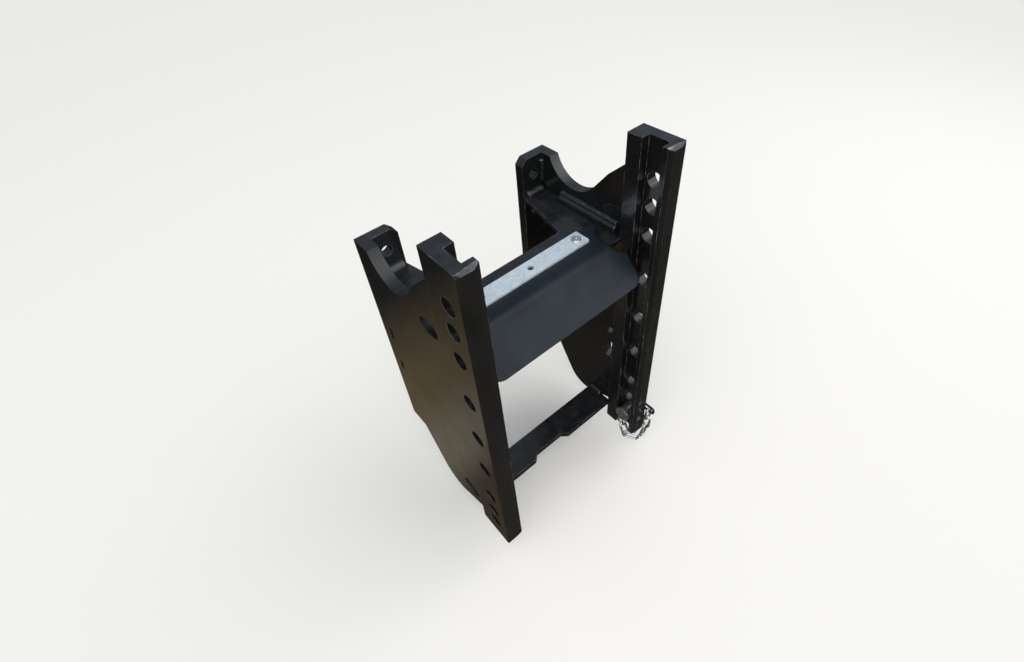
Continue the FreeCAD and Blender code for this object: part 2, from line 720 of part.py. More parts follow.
def chain():
    """The links in order from the pin.  Links 3 to 5 hang from the staple in front of
    the rail, and links 1 and 2 from the pin's eye; 2 and 3 meet without hooking."""
    hook_staple = STAPLE_WIRE_R + LINK_WIRE_R + LINK_PLAY
    pivot_5 = Vector(STAPLE_X, CHAIN_Y, STAPLE_Z)
    top_5 = pivot_5 - HANG_5 * hook_staple
    pivot_4 = top_5 + HANG_5 * (LINK_SPAN - HOOK)
    pivot_3 = pivot_4 + HANG_4 * LINK_SPAN
    top_3 = pivot_3 - HANG_3 * HOOK
    top_1 = eye_centre() + HANG_1 * (EYE_R - EYE_WIRE_R - LINK_WIRE_R - LINK_PLAY)
    foot_1 = top_1 + HANG_1 * LINK_SPAN
    top_2 = foot_1 - HANG_2 * (2 * LINK_WIRE_R + LOOSE_PLAY)
    links = {
        "chain_link_1": chain_link(top_1, foot_1, X_AXIS),
        "chain_link_2": chain_link(top_2, top_2 + HANG_2 * LINK_SPAN, ACROSS_2),
        "chain_link_3": chain_link(top_3, top_3 + HANG_3 * LINK_SPAN, X_AXIS),
        "chain_link_4": chain_link(pivot_4, pivot_3, Y_AXIS),
        "chain_link_5": chain_link(top_5, top_5 + HANG_5 * LINK_SPAN, X_AXIS),
    }
    return links, (eye_centre(), pivot_3, pivot_4, pivot_5)


def chain_anchor(rail):
    """U-shaped staple that stands on the front of the right rail."""
    tip_y = CHAIN_Y - LINK_WIRE_R - STAPLE_BEND_R - 2 * STAPLE_WIRE_R
    low = Vector(STAPLE_X, RAIL_NOSE_R, STAPLE_Z)
    lift = Z_AXIS * STAPLE_RISE
    tip = Vector(STAPLE_X, tip_y, STAPLE_Z)
    wire = bent_wire([low, tip, tip + lift, low + lift], STAPLE_BEND_R, STAPLE_WIRE_R)
    pieces = wire.cut(rail).Solids
    return max(pieces, key=lambda piece: piece.BoundBox.YLength * -piece.BoundBox.YMin)


# ---- assembly ----

def write(name, solids):
    shape = solids[0] if len(solids) == 1 else Part.makeCompound(solids)
    shape = shape.copy()
    shape.translate(Vector(0, -MOUNT_Y, -MOUNT_Z))
    shape.exportStep("parts/" + name + ".step")


def main():
    os.makedirs("parts", exist_ok=True)
    rail = guide_rail()
    left_plate = mirrored(side_plate())
    plugs = slot_plugs()
    links, pivots = chain()
    nodes = {
        "left_guide_rail": [mirrored(rail)],
        "right_guide_rail": [rail],
        "left_side_plate": [left_plate],
        "right_side_plate": [right_side_plate()],
        "left_rear_flange": [mirrored(rear_flange())],
        "right_rear_flange": [rear_flange()],
        "cross_shelf": [cross_shelf()],
        "lower_cross_bar": [lower_cross_bar()],
        "flap_clamped": [flap_clamped()],
        "flap_hanging": [flap_hanging()],
        "clamp_bar": [clamp_bar()],
        "clamp_screws": [clamp_screw(x) for x in (-SCREW_X, SCREW_X)],
        "clamp_washers": [clamp_washer(x) for x in (-SCREW_X, SCREW_X)],
        "clamp_nuts": [clamp_nut(x) for x in (-SCREW_X, SCREW_X)],
        "stop_pin": [stop_pin()],
        "stop_pin_head": [stop_pin_head()],
        "stop_pin_eye": [stop_pin_eye()],
        "chain_anchor": [chain_anchor(rail)],
    }
    welds = {
        "shelf_side_welds": [shelf_side_weld()],
        "shelf_flange_welds": [shelf_flange_weld()],
        "flange_plate_welds": flange_plate_weld(),
        "rail_plate_welds": rail_plate_weld(),
        "cross_bar_welds": [cross_bar_weld()],
        "slot_plug_welds": plugs,
    }
    for name, beads in welds.items():
        nodes[name] = beads + [mirrored(piece) for piece in beads]
    for name, link in links.items():
        nodes[name] = [link]
    for name, solids in nodes.items():
        write(name, solids)
    for pivot in pivots:
        print("chain pivot", [round(value, 3) for value in pivot - Vector(0, MOUNT_Y, MOUNT_Z)])


main()
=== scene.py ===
import math

import bmesh
import bpy
from mathutils import Matrix, Vector, noise


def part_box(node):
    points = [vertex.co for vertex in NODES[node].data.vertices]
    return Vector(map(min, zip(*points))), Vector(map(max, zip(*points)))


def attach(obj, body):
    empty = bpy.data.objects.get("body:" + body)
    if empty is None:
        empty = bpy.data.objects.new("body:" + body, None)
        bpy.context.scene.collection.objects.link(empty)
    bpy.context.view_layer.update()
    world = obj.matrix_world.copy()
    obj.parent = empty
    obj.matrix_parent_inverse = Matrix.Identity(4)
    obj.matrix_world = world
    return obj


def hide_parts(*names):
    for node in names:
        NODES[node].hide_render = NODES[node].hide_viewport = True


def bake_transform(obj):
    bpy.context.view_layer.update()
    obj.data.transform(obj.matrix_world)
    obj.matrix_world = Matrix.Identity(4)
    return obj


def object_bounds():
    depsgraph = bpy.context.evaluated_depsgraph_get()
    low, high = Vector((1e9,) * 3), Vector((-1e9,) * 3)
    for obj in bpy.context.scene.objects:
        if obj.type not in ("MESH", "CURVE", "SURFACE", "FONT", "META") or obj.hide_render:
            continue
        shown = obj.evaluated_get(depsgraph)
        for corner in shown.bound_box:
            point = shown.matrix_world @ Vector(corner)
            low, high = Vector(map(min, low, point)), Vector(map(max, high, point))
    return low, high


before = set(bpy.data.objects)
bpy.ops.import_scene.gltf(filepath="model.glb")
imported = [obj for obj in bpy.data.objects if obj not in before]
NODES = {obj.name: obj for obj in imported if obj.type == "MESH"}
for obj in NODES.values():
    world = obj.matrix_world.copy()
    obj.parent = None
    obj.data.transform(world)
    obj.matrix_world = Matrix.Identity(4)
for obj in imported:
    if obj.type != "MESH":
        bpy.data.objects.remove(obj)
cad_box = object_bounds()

MM = 0.001

# ---- camera ----

CAMERA_AT = (-0.3500, -0.6072, 0.6455)
CAMERA_RIGHT = (0.77089, -0.63128, -0.08489)
CAMERA_UP = (0.48466, 0.49485, 0.72126)
CAMERA_BACK = (-0.41331, -0.59716, 0.68744)
CAMERA_LENS_MM = 19.16
CAMERA_SHIFT = (0.0048, -0.0401)

# ---- studio ----

FLOOR_DROP = 0.040              # below the part's lowest point
FLOOR_SIZE = 60.0
PALE = (0.97, 0.90, 0.82)
CARD_DROP = 0.002               # of the card that glossy rays see, below the floor
# The card's tones are painted reflections: what the part's glossy faces show of the floor, each tone set
# by where it lands.
CARD_NEAR_TONE = (0.30, 0.265, 0.20)
CARD_WARM_TONE = (0.22, 0.165, 0.09)
CARD_FRONT_TONE = (0.11, 0.08, 0.05)
CARD_FAR_TONE = (0.02, 0.02, 0.022)
CARD_UNDER_TONE = (0.075, 0.065, 0.052)
SKY_FRONT = (1.46, 1.54, 1.60)
SKY_BACK = (0.26, 0.31, 0.37)
SKY_FADE = (-0.45, 0.40)        # between the two, by how far a direction points to the rear
LIGHTS = (                      # name, place, size, watts, colour
    ("key_softbox", (-0.9, -0.5, 2.1), (1.6, 1.6), 8, (0.94, 0.97, 1.0)),
    ("side_softbox", (1.9, -0.6, 1.2), (1.0, 1.0), 6, (0.92, 0.96, 1.0)),
)
LIGHTS_AIM = (0, -0.1, 0)

# ---- black paint ----

PAINT_DEEP = (0.0050, 0.0052, 0.0056)
PAINT_EDGE_R = 0.9 * MM

# ---- rubber flap, in metres ----

FLAP_THICK = 6 * MM
FLAP_NOTCH_R = 33 * MM
FLAP_NOTCH_X = 147 * MM
FLAP_NOTCH_BEHIND_BEND = 14 * MM
FLAP_BEND_R = 7 * MM
FLAP_FALL = math.radians(59)
FLAP_LIP = math.radians(36)
FLAP_BEND_SETBACK = 2.5 * MM    # the bend's middle, behind the CAD solid's sharp bend
FLAP_HANG_LENGTH = 71.5 * MM
FLAP_CORNER_R = 20 * MM
FLAP_HANG_HALF_WIDTH = 139 * MM
FLAP_COLUMNS = 72
FLAP_ROUNDING = 0.9 * MM
FLAP_ROW = 2 * MM               # between the mesh's rows along the sheet
FLAP_CORNER_ROWS = 16
FLAP_LINE_STEP = 0.5 * MM
FLAP_WIDENING = 20 * MM         # length over which the sheet widens below its bend
FLAP_CORNER_STOP = 0.985        # share of the corner's quarter turn, short of where the rows would meet
FLAP_WAVES = (                  # depth, radians per metre of width, phase, power of its growth downwards
    (1.1 * MM, 36, 0.7, 1),
    (0.8 * MM, 71, 2.0, 2),
)
FLAP_LEFT_CORNER = (105 * MM, -1.2 * MM)    # where the corner's turn starts, and its lift at the edge
FLAP_RIGHT_CORNER = (110 * MM, 3.0 * MM)

# ---- guide rails ----

CAD_NOSE_R = 8 * MM             # of the solid's outer front edge
CAD_CHAMFER = 5 * MM            # of the solid's inner front edge
NOSE_R = 2.2 * MM
CHAMFERS = {"left_guide_rail": 1.2 * MM, "right_guide_rail": 4.0 * MM}

# ---- weld beads ----

WELD_STEP = 0.55 * MM           # between the stations along a bead
WELD_RIPPLE_PITCH = 2.6 * MM
WELD_RIPPLE = 0.32 * MM
WELD_COLUMNS = 16
WELD_END = 4 * MM               # over which a bead's end tapers
WELD_CRESCENT = 3.2 * MM        # how far a ripple's sides trail its middle
WELD_FILL = 0.96                # share of the CAD bead's legs
WELD_BULGE = 0.13               # of both legs together


# ---- materials ----

class Finish:
    """A material under construction, with short ways to add the nodes that the finishes share."""

    def __init__(self, name):
        self.material = bpy.data.materials.new(name)
        self.material.use_nodes = True
        self.tree = self.material.node_tree
        self.shader = self.tree.nodes["Principled BSDF"]
        self.place = self.add("ShaderNodeTexCoord").outputs["Object"]
        self.bumps = None

    def add(self, kind, **settings):
        node = self.tree.nodes.new(kind)
        for key, value in settings.items():
            setattr(node, key, value)
        return node

    def link(self, source, target):
        self.tree.links.new(source, target)

    def stretched(self, scale):
        """The object coordinates, scaled along X, Y and Z."""
        node = self.add("ShaderNodeVectorMath", operation="MULTIPLY")
        self.link(self.place, node.inputs[0])
        node.inputs[1].default_value = scale
        return node.outputs[0]

    def noise(self, scale, detail=3.0, roughness=0.5, place=None):
        node = self.add("ShaderNodeTexNoise")
        node.inputs["Scale"].default_value = scale
        node.inputs["Detail"].default_value = detail
        node.inputs["Roughness"].default_value = roughness
        self.link(place or self.place, node.inputs["Vector"])
        return node.outputs["Fac"]

    def cells(self, scale):
        """A grey of its own for each cell."""
        node = self.add("ShaderNodeTexVoronoi")
        node.inputs["Scale"].default_value = scale
        self.link(self.place, node.inputs["Vector"])
        return node.outputs["Color"]

    def span(self, value, low, high, to_low=0.0, to_high=1.0):
        """value remapped from low..high to to_low..to_high, clamped."""
        node = self.add("ShaderNodeMapRange")
        self.link(value, node.inputs["Value"])
        node.inputs["From Min"].default_value = low
        node.inputs["From Max"].default_value = high
        node.inputs["To Min"].default_value = to_low
        node.inputs["To Max"].default_value = to_high
        return node.outputs["Result"]

    def math(self, operation, first, second):
        node = self.add("ShaderNodeMath", operation=operation)
        for socket, value in zip(node.inputs, (first, second)):
            if isinstance(value, (int, float)):
                socket.default_value = value
            else:
                self.link(value, socket)
        return node.outputs[0]

    def blend_colours(self, factor, low, high):
        """A colour between low and high, each a colour or another output."""
        node = self.add("ShaderNodeMix", data_type="RGBA")
        self.link(factor, node.inputs["Factor"])
        for name, value in (("A", low), ("B", high)):
            socket = [s for s in node.inputs if s.name == name and s.type == "RGBA"][0]
            if isinstance(value, tuple):
                socket.default_value = (*value, 1.0)
            else:
                self.link(value, socket)
        return [s for s in node.outputs if s.type == "RGBA"][0]

    def facing(self, axis, low, high):
        """1 where the surface faces along axis (0, 1 or 2), 0 where it doesn't; both senses count."""
        parts = self.add("ShaderNodeSeparateXYZ")
        self.link(self.add("ShaderNodeNewGeometry").outputs["True Normal"], parts.inputs[0])
        return self.span(self.math("ABSOLUTE", parts.outputs[axis], 0.0), low, high)

    def facing_up(self, low, high):
        parts = self.add("ShaderNodeSeparateXYZ")
        self.link(self.add("ShaderNodeNewGeometry").outputs["True Normal"], parts.inputs[0])
        return self.span(parts.outputs[2], low, high)

    def bump(self, height, depth):
        """Adds height, 0 to 1, as relief depth metres deep."""
        node = self.add("ShaderNodeBump")
        node.inputs["Strength"].default_value = 1.0
        node.inputs["Distance"].default_value = depth
        self.link(height, node.inputs["Height"])
        if self.bumps is not None:
            self.link(self.bumps, node.inputs["Normal"])
        self.bumps = node.outputs["Normal"]

    def round_edges(self, radius):
        node = self.add("ShaderNodeBevel", samples=6)
        node.inputs["Radius"].default_value = radius
        self.bumps = node.outputs["Normal"]
        return node.outputs["Normal"]

    def edges(self, normal):
        """1 on a rounded edge, 0 on a flat."""
        node = self.add("ShaderNodeVectorMath", operation="DOT_PRODUCT")
        self.link(normal, node.inputs[0])
        self.link(self.add("ShaderNodeNewGeometry").outputs["True Normal"], node.inputs[1])
        return self.span(node.outputs["Value"], 0.995, 0.90)

    def set(self, **values):
        """Fixed values straight on the shader's sockets."""
        names = {"metallic": "Metallic", "coat": "Coat Weight",
                 "coat_roughness": "Coat Roughness", "specular": "Specular IOR Level"}
        for key, value in values.items():
            self.shader.inputs[names[key]].default_value = value

    def done(self, colour, roughness):
        self.link(colour, self.shader.inputs["Base Color"])
        self.link(roughness, self.shader.inputs["Roughness"])
        if self.bumps is not None:
            self.link(self.bumps, self.shader.inputs["Normal"])
        return self.material


def black_paint(name, peel_depth, grain_depth, gloss):
    """Gloss black paint on steel: orange peel, a rolled surface under it, dust on what faces up, and
    patchy light grey on the rounded edges, partly worn paint and partly a painted highlight.
    """
    paint = Finish(name)
    rounded = paint.round_edges(PAINT_EDGE_R)
    edge = paint.edges(rounded)
    cloud = paint.noise(11, 4)
    shade = paint.blend_colours(paint.span(cloud, 0.35, 0.65), PAINT_DEEP,
                                (0.0105, 0.0100, 0.0096))
    # Painted highlight: patchy light grey along the rounded edges, partly worn paint.
    edge_wear_and_highlight = paint.math("MULTIPLY", edge, paint.span(paint.noise(70, 4), 0.48, 0.60, 0.15, 1.0))
    shade = paint.blend_colours(edge_wear_and_highlight, shade, (0.24, 0.26, 0.28))
    dust = paint.math("MULTIPLY", paint.facing_up(0.6, 0.95),
                      paint.span(paint.noise(55, 6, 0.65), 0.42, 0.72))
    shade = paint.blend_colours(paint.math("MULTIPLY", dust, 0.22), shade, (0.075, 0.080, 0.088))
    rough = paint.span(paint.noise(26, 5), 0.3, 0.7, gloss, gloss + 0.10)
    rough = paint.math("ADD", rough, paint.math("MULTIPLY", dust, 0.10))
    paint.bump(paint.noise(48, 3), 0.55 * MM)
    paint.bump(paint.noise(430, 2), peel_depth)
    paint.bump(paint.noise(1500, 3, 0.6), grain_depth)
    paint.set(coat=0.35, coat_roughness=0.06)
    return paint.done(shade, rough)


def cut_edge_paint(name, axis, streaks):
    """Black paint over flame-cut edges: drag lines run through the plate's thickness."""
    paint = Finish(name)
    rounded = paint.round_edges(PAINT_EDGE_R)
    edge = paint.edges(rounded)
    cloud = paint.noise(9, 4)
    shade = paint.blend_colours(paint.span(cloud, 0.35, 0.65), PAINT_DEEP,
                                (0.0110, 0.0104, 0.0098))
    # Painted highlight: the rounded edges are painted a lighter black, partly worn paint.
    shade = paint.blend_colours(paint.math("MULTIPLY", edge, 0.55), shade, (0.030, 0.032, 0.035))
    cut = paint.facing(axis, 0.5, 0.3)
    lines = paint.noise(1.0, 3, 0.6, paint.stretched(streaks))
    rough = paint.span(paint.noise(26, 5), 0.3, 0.7, 0.16, 0.26)
    rough = paint.math("ADD", rough, paint.math("MULTIPLY", cut, 0.08))
    paint.bump(paint.noise(40, 3), 0.5 * MM)
    paint.bump(paint.noise(430, 2), 0.045 * MM)
    paint.bump(paint.math("MULTIPLY", lines, cut), 0.5 * MM)
    paint.set(coat=0.35, coat_roughness=0.06)
    return paint.done(shade, rough)


def weld_paint():
    paint = Finish("weld_paint")
    shade = paint.blend_colours(paint.noise(120, 3), (0.0050, 0.0053, 0.0058), (0.014, 0.014, 0.014))
    paint.bump(paint.noise(650, 3), 0.10 * MM)
    paint.set(coat=0.5, coat_roughness=0.05)
    return paint.done(shade, paint.span(paint.noise(90, 3), 0.3, 0.7, 0.14, 0.24))


def flap_rubber():
    """Slate-black sheet rubber: faint calender marks across it, bloom and dust on its upper side."""
    rubber = Finish("flap_rubber")
    cloud = rubber.noise(16, 5, 0.6)
    shade = rubber.blend_colours(rubber.span(cloud, 0.35, 0.68), (0.0050, 0.0085, 0.0130),
                                 (0.0095, 0.0145, 0.0205))
    specks = rubber.span(rubber.noise(700, 2), 0.66, 0.74)
    shade = rubber.blend_colours(rubber.math("MULTIPLY", specks, 0.35), shade, (0.07, 0.08, 0.09))
    marks = rubber.noise(1.0, 3, 0.5, rubber.stretched((22, 260, 260)))
    rubber.bump(rubber.noise(60, 3), 0.5 * MM)
    rubber.bump(marks, 0.08 * MM)
    rubber.bump(rubber.noise(1300, 2), 0.03 * MM)
    rubber.set(specular=0.30)
    return rubber.done(shade, rubber.span(rubber.noise(35, 4), 0.3, 0.7, 0.36, 0.50))


def galvanised_steel():
    """Hot-dip zinc: soft spangle cells of slightly different brightness."""
    zinc = Finish("galvanised_steel")
    zinc.round_edges(0.5 * MM)
    shade = zinc.blend_colours(zinc.span(zinc.cells(210), 0.1, 0.9), (0.70, 0.765, 0.80),
                               (0.86, 0.92, 0.95))
    zinc.bump(zinc.noise(240, 3), 0.05 * MM)
    zinc.bump(zinc.noise(1200, 3), 0.02 * MM)
    zinc.set(metallic=0.45)
    return zinc.done(shade, zinc.span(zinc.noise(180, 4), 0.3, 0.7, 0.30, 0.44))


def zinc_plate(name, bright, dull):
    """Bright zinc plating with grey handling marks."""
    zinc = Finish(name)
    zinc.round_edges(0.35 * MM)
    worn = zinc.span(zinc.noise(160, 5, 0.65), 0.38, 0.62)
    shade = zinc.blend_colours(worn, bright, dull)
    zinc.bump(zinc.noise(900, 3), 0.02 * MM)
    zinc.set(metallic=0.95)
    return zinc.done(shade, zinc.span(zinc.noise(300, 4), 0.3, 0.7, 0.20, 0.36))


def plain_floor():
    floor = Finish("pale_floor")
    shade = floor.blend_colours(floor.noise(2, 2), PALE, PALE)
    floor.set(specular=0.0)
    return floor.done(shade, floor.span(floor.noise(3, 2), 0, 1, 0.9, 0.95))


def paint_node(name, material):
    node = NODES[name]
    for slot in node.material_slots:
        slot.link = "OBJECT"
        slot.material = material


# ---- mesh helpers ----

def new_piece(name, mesh, material):
    piece = bpy.data.objects.new(name, mesh)
    bpy.context.scene.collection.objects.link(piece)
    mesh.materials.append(material)
    mesh.shade_smooth()
    return piece


def grid_faces(rows, columns, close=False):
    """Quads over rows x columns points, the columns closed into a ring if asked."""
    faces = []
    last = columns if close else columns - 1
    for r in range(rows - 1):
        for c in range(last):
            a = r * columns + c
            b = r * columns + (c + 1) % columns
            faces.append((a, b, b + columns, a + columns))
    return faces


def islands(node):
    """(lowest corner, highest corner) of each separate solid in a CAD node's mesh."""
    work = bmesh.new()
    work.from_mesh(NODES[node].data)
    bmesh.ops.remove_doubles(work, verts=work.verts, dist=0.001 * MM)
    left = set(work.verts)
    boxes = []
    while left:
        stack = [left.pop()]
        found = list(stack)
        while stack:
            for edge in stack.pop().link_edges:
                for vert in edge.verts:
                    if vert in left:
                        left.remove(vert)
                        stack.append(vert)
                        found.append(vert)
        low = Vector([min(v.co[i] for v in found) for i in range(3)])
        high = Vector([max(v.co[i] for v in found) for i in range(3)])
        boxes.append((low, high))
    work.free()
    return sorted(boxes, key=lambda box: tuple(box[0]))


# ---- guide rails ----

def crisp_rail(name, material):
    """The rail with tighter front edges than its solid: its outer nose and the chamfer of its lip."""
    mesh = NODES[name].data.copy()
    mesh.materials.clear()
    if "custom_normal" in mesh.attributes:
        mesh.attributes.remove(mesh.attributes["custom_normal"])
    low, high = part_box(name)
    outer, inner = (high.x, low.x) if low.x + high.x > 0 else (low.x, high.x)
    for edge_x, old, new in ((outer, CAD_NOSE_R, NOSE_R), (inner, CAD_CHAMFER, CHAMFERS[name])):
        reach = old + 0.01 * MM
        for vert in mesh.vertices:
            across = vert.co.x - edge_x
            depth = vert.co.y - low.y
            if abs(across) <= reach and depth <= reach:
                vert.co.x = edge_x + across * new / old
                vert.co.y = low.y + depth * new / old
    piece = new_piece(name + "_crisp", mesh, material)
    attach(piece, "frame")
    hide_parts(name)


# ---- weld beads ----

def rippled_bead(low, high, run, corner, passes):
    """A fillet bead in the box low..high. run is its axis; corner gives, for the other two axes, which
    end of the box the inner corner is at. passes is how many runs lie side by side in it."""
    legs = [axis for axis in range(3) if axis != run]
    inner = Vector(low)
    reach = Vector((0, 0, 0))
    for axis in legs:
        at_high = corner[axis] > 0
        inner[axis] = high[axis] if at_high else low[axis]
        reach[axis] = (low[axis] - high[axis]) if at_high else (high[axis] - low[axis])
    leg_a = Vector([reach[i] if i == legs[0] else 0 for i in range(3)])
    leg_b = Vector([reach[i] if i == legs[1] else 0 for i in range(3)])
    outward = (leg_a.normalized() + leg_b.normalized()).normalized()
    length = high[run] - low[run]
    stations = max(12, int(length / WELD_STEP))
    along = Vector([1 if i == run else 0 for i in range(3)])
    verts = []
    for s in range(stations + 1):
        t = s / stations * length
        end = min(t, length - t)
        size = min(1.0, math.sqrt(max(0.02, 1 - (1 - min(end / WELD_END, 1)) ** 2)))
        wander = 1 + 0.07 * noise.noise(Vector((t * 90, inner.x * 40, inner.z * 40)))
        for c in range(WELD_COLUMNS + 1):
            u = c / WELD_COLUMNS
            lobe = abs(math.sin(math.pi * u * passes)) ** 0.75
            crescent = t + WELD_CRESCENT * (abs((u * passes) % 1 - 0.5) * 2) ** 2
            jitter = 0.35 * noise.noise(Vector((t * 300, u * 3, inner.y * 50)))
            phase = crescent / WELD_RIPPLE_PITCH + jitter
            ripple = (abs(math.sin(math.pi * phase)) - 0.5) * WELD_RIPPLE * lobe
            base = inner + (leg_a * (1 - u) + leg_b * u) * size * wander * WELD_FILL
            crown = 0.55 * math.sin(math.pi * u) + 0.45 * lobe
            bulge = WELD_BULGE * (leg_a.length + leg_b.length) * size * crown
            grain = 0.10 * MM * noise.noise(base * 900)
            verts.append(base + outward * (bulge + ripple * size + grain) + along * t)
        verts.append(inner + along * t)
    columns = WELD_COLUMNS + 2
    faces = grid_faces(stations + 1, columns, close=True)
    faces.append(tuple(range(columns)))
    faces.append(tuple(range(stations * columns, (stations + 1) * columns)))
    return verts, faces


def weld_piece(node, run, corner, passes, material):
    """One rippled piece for a CAD weld node, a bead for each of its solids."""
    verts = []
    faces = []
    for low, high in islands(node):
        side = 1 if low.x + high.x > 0 else -1
        turned = (corner[0] * side, corner[1], corner[2])
        bead_verts, bead_faces = rippled_bead(low, high, run, turned, passes)
        faces += [tuple(len(verts) + index for index in face) for face in bead_faces]
        verts += bead_verts
    mesh = bpy.data.meshes.new(node + "_beads")
    mesh.from_pydata(verts, [], faces)
    work = bmesh.new()
    work.from_mesh(mesh)
    bmesh.ops.recalc_face_normals(work, faces=work.faces)
    work.to_mesh(mesh)
    work.free()
    piece = new_piece(node + "_beads", mesh, material)
    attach(piece, "frame")
    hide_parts(node)


# ---- rubber flap ----

def flap_half_width(s, flat_length, clamped_half):
    """Half the sheet's width at distance s from its rear edge, measured along the sheet."""
    total = flat_length + FLAP_HANG_LENGTH
    half = clamped_half
    if s > flat_length:
        widened = min(1, (s - flat_length) / FLAP_WIDENING)
        half = clamped_half + (FLAP_HANG_HALF_WIDTH - clamped_half) * widened
    from_notch = abs(s - (flat_length + FLAP_BEND_SETBACK - FLAP_NOTCH_BEHIND_BEND))
    if from_notch < FLAP_NOTCH_R:
        half = min(half, FLAP_NOTCH_X - math.sqrt(FLAP_NOTCH_R ** 2 - from_notch ** 2))
    from_end = total - s
    if from_end < FLAP_CORNER_R:
        half -= FLAP_CORNER_R - math.sqrt(max(0, FLAP_CORNER_R ** 2 - (FLAP_CORNER_R - from_end) ** 2))
    return half


def flap_line(s, flat_length, rear_y, top_z):
    """Middle of the sheet in the YZ plane at distance s from its rear edge, and its fall angle."""
    y = rear_y
    z = top_z - FLAP_THICK / 2
    angle = 0.0
    bend_length = FLAP_BEND_R * FLAP_FALL
    bend_start = flat_length - bend_length / 2
    bend_end = flat_length + bend_length / 2
    gone = 0.0
    while gone < s:
        ds = min(FLAP_LINE_STEP, s - gone)
        if gone < bend_start:
            angle = 0.0
        elif gone < bend_end:
            angle = FLAP_FALL * (gone - bend_start) / bend_length
        else:
            part = (gone - bend_end) / (flat_length + FLAP_HANG_LENGTH - bend_end)
            angle = FLAP_FALL + (FLAP_LIP - FLAP_FALL) * part
        y -= math.cos(angle) * ds
        z -= math.sin(angle) * ds
        gone += ds
    return y, z, angle


def flap_piece(material):
    """The whole rubber sheet in one piece: clamped, bent over the shelf's edge and hanging."""
    low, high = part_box("flap_clamped")
    bend_y = low.y
    rear_y = high.y
    flat_length = rear_y - bend_y - FLAP_BEND_SETBACK
    clamped_half = high.x
    total = flat_length + FLAP_HANG_LENGTH
    stations = [i * FLAP_ROW for i in range(int((total - FLAP_CORNER_R) / FLAP_ROW))]
    for row in range(FLAP_CORNER_ROWS + 1):
        turn = math.radians(90 * row / FLAP_CORNER_ROWS) * FLAP_CORNER_STOP
        stations.append(total - FLAP_CORNER_R * (1 - math.sin(turn)))
    columns = FLAP_COLUMNS + 1
    top = []
    under = []
    for s in stations:
        y, z, angle = flap_line(s, flat_length, rear_y, high.z)
        half = flap_half_width(s, flat_length, clamped_half)
        normal = Vector((0, -math.sin(angle), math.cos(angle)))
        hang = max(0.0, (s - flat_length) / FLAP_HANG_LENGTH)
        for c in range(columns):
            x = (2 * c / FLAP_COLUMNS - 1) * half
            lift = sum(hang ** growth * depth * math.sin(x * rate + phase)
                       for depth, rate, phase, growth in FLAP_WAVES)
            for outward, (start, rise) in ((-x, FLAP_LEFT_CORNER), (x, FLAP_RIGHT_CORNER)):
                turned = max(0.0, (outward - start) / (FLAP_HANG_HALF_WIDTH - start)) ** 1.5
                lift += turned * hang ** 2 * rise
            point = Vector((x, y, z)) + normal * lift
            top.append(point + normal * FLAP_THICK / 2)
            under.append(point - normal * FLAP_THICK / 2)
    rows = len(stations)
    count = rows * columns
    faces = [face[::-1] for face in grid_faces(rows, columns)]
    faces += [tuple(index + count for index in face[::-1]) for face in faces]
    rim = list(range(columns))
    rim += [r * columns + columns - 1 for r in range(1, rows)]
    rim += [(rows - 1) * columns + c for c in range(columns - 2, -1, -1)]
    rim += [r * columns for r in range(rows - 2, 0, -1)]
    for a, b in zip(rim, rim[1:] + rim[:1]):
        faces.append((a, b, b + count, a + count))
    mesh = bpy.data.meshes.new("flap_sheet")
    mesh.from_pydata(top + under, [], faces)
    work = bmesh.new()
    work.from_mesh(mesh)
    bmesh.ops.recalc_face_normals(work, faces=work.faces)
    work.normal_update()
    rim_edges = [edge for edge in work.edges
                 if edge.is_manifold and math.radians(60) < edge.calc_face_angle() < math.radians(130)]
    bmesh.ops.bevel(work, geom=rim_edges, offset=FLAP_ROUNDING, segments=3, affect="EDGES",
                    clamp_overlap=True)
    work.to_mesh(mesh)
    work.free()
    piece = new_piece("flap_sheet", mesh, material)
    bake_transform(piece)
    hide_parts("flap_clamped", "flap_hanging")


# ---- studio ----

def flat_card(name, size, place, material):
    mesh = bpy.data.meshes.new(name)
    half = size / 2
    mesh.from_pydata([(-half, -half, 0), (half, -half, 0), (half, half, 0), (-half, half, 0)], [],
                     [(0, 1, 2, 3)])
    card = bpy.data.objects.new(name, mesh)
    card.location = place
    bpy.context.scene.collection.objects.link(card)
    mesh.materials.append(material)
    return card


def soft_light(name, place, size, watts, colour):
    lamp = bpy.data.lights.new(name, "AREA")
    lamp.shape = "RECTANGLE"
    lamp.size, lamp.size_y = size
    lamp.energy = watts
    lamp.color = colour
    item = bpy.data.objects.new(name, lamp)
    item.location = place
    item.rotation_euler = (Vector(LIGHTS_AIM) - Vector(place)).to_track_quat("-Z", "Y").to_euler()
    bpy.context.scene.collection.objects.link(item)


def reflected_card(floor_z):
    """A card just below the floor, which only glossy rays see: its warm and dark tones, set by place,
    are painted reflections for the part's glossy faces.
    """
    warm = Finish("warm_card")
    along = warm.add("ShaderNodeSeparateXYZ")
    warm.link(warm.place, along.inputs[0])
    card_x, card_y, _ = along.outputs
    shade = warm.blend_colours(warm.span(card_y, 0.02, 0.14), CARD_NEAR_TONE, CARD_WARM_TONE)
    shade = warm.blend_colours(warm.span(card_y, -0.04, -0.12), shade, CARD_FRONT_TONE)
    shade = warm.blend_colours(warm.span(card_y, 0.20, 0.50), shade, CARD_FAR_TONE)
    # Painted reflection: a dim warm tone left of x = -0.14 m, for what the left side plate's outer face
    # reflects.
    shade = warm.blend_colours(warm.span(card_x, -0.20, -0.14), shade, CARD_UNDER_TONE)
    warm.set(specular=0.0)
    card = flat_card("floor_tone", FLOOR_SIZE, (0, 0, floor_z - CARD_DROP),
                     warm.done(shade, warm.span(warm.noise(3, 2), 0, 1, 0.9, 0.95)))
    card.visible_camera = False
    card.visible_diffuse = False
    card.visible_shadow = False


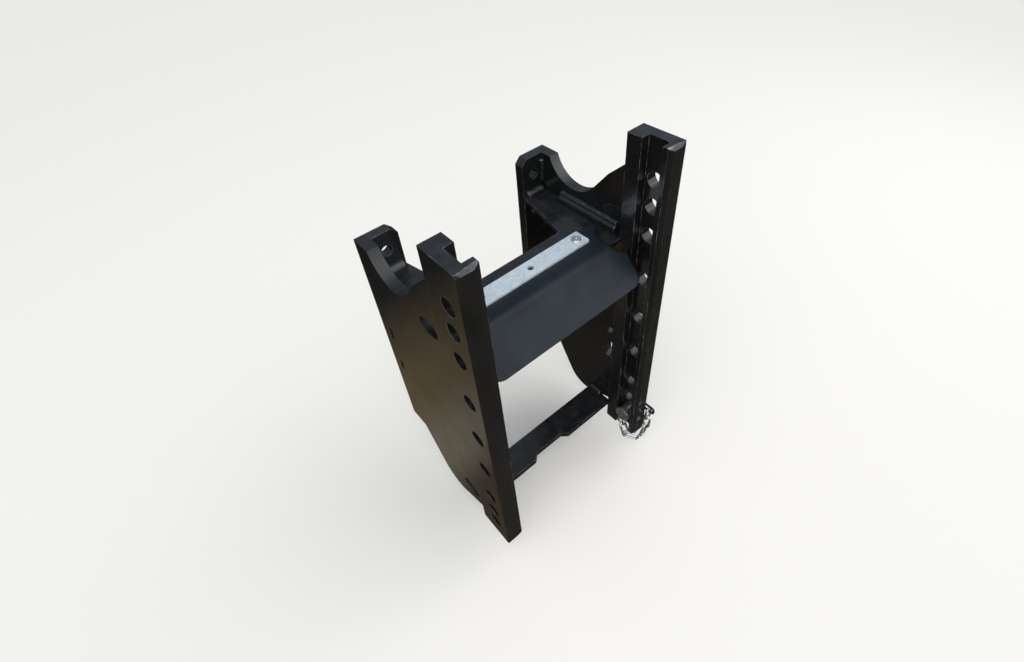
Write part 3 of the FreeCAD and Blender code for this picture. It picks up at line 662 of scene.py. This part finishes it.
def sky():
    """Soft light from all round, bright on the part's front side and dark behind it."""
    world = bpy.data.worlds.new("studio")
    world.use_nodes = True
    add = world.node_tree.nodes.new
    link = world.node_tree.links.new
    background = world.node_tree.nodes["Background"]
    background.inputs["Strength"].default_value = 1.0
    parts = add("ShaderNodeSeparateXYZ")
    link(add("ShaderNodeTexCoord").outputs["Generated"], parts.inputs[0])
    fade = add("ShaderNodeMapRange")
    fade.inputs["From Min"].default_value = SKY_FADE[0]
    fade.inputs["From Max"].default_value = SKY_FADE[1]
    link(parts.outputs[1], fade.inputs["Value"])
    mix = add("ShaderNodeMix")
    mix.data_type = "RGBA"
    link(fade.outputs["Result"], mix.inputs["Factor"])
    front, back = [socket for socket in mix.inputs if socket.type == "RGBA"]
    front.default_value = (*SKY_FRONT, 1)
    back.default_value = (*SKY_BACK, 1)
    link([socket for socket in mix.outputs if socket.type == "RGBA"][0], background.inputs["Color"])
    bpy.context.scene.world = world


def studio():
    floor_z = cad_box[0][2] - FLOOR_DROP
    floor = flat_card("floor", FLOOR_SIZE, (0, 0, floor_z), plain_floor())
    floor.visible_glossy = False
    reflected_card(floor_z)
    sky()
    for name, place, size, watts, colour in LIGHTS:
        soft_light(name, place, size, watts, colour)
    bpy.context.scene.view_settings.view_transform = "Standard"


def photo_camera():
    lens = bpy.data.cameras.new("photo_camera")
    lens.lens = CAMERA_LENS_MM
    lens.sensor_width = 36.0
    lens.shift_x, lens.shift_y = CAMERA_SHIFT
    lens.clip_start = 0.02
    camera = bpy.data.objects.new("photo_camera", lens)
    axes = Matrix((CAMERA_RIGHT, CAMERA_UP, CAMERA_BACK)).transposed()
    camera.matrix_world = Matrix.Translation(CAMERA_AT) @ axes.to_4x4()
    bpy.context.scene.collection.objects.link(camera)
    bpy.context.scene.camera = camera


# ---- the part ----

rail_paint = black_paint("rail_paint", 0.045 * MM, 0.012 * MM, 0.16)
shelf_paint = black_paint("shelf_paint", 0.10 * MM, 0.02 * MM, 0.20)
plate_paint = cut_edge_paint("plate_paint", 0, (60, 1100, 1100))
bead_paint = weld_paint()
rubber = flap_rubber()
galvanised = galvanised_steel()
bright_zinc = zinc_plate("bright_zinc", (0.78, 0.79, 0.80), (0.50, 0.51, 0.53))

for name in ("left_guide_rail", "right_guide_rail"):
    crisp_rail(name, rail_paint)
for name in ("left_rear_flange", "right_rear_flange", "slot_plug_welds", "chain_anchor"):
    paint_node(name, rail_paint)
for name in ("left_side_plate", "right_side_plate"):
    paint_node(name, plate_paint)
for name in ("cross_shelf", "lower_cross_bar"):
    paint_node(name, shelf_paint)
paint_node("clamp_bar", galvanised)
for name in ("clamp_screws", "clamp_washers", "clamp_nuts", "stop_pin", "stop_pin_head", "stop_pin_eye"):
    paint_node(name, bright_zinc)
for number in range(1, 6):
    paint_node(f"chain_link_{number}", bright_zinc)

X, Y, Z = 0, 1, 2
weld_piece("shelf_side_welds", Y, (1, 0, -1), 2, bead_paint)
weld_piece("shelf_flange_welds", X, (0, 1, -1), 1, bead_paint)
weld_piece("flange_plate_welds", Z, (1, 1, 0), 1, bead_paint)
weld_piece("rail_plate_welds", Z, (1, -1, 0), 1, bead_paint)
weld_piece("cross_bar_welds", Y, (1, 0, -1), 1, bead_paint)
flap_piece(rubber)

studio()
photo_camera()
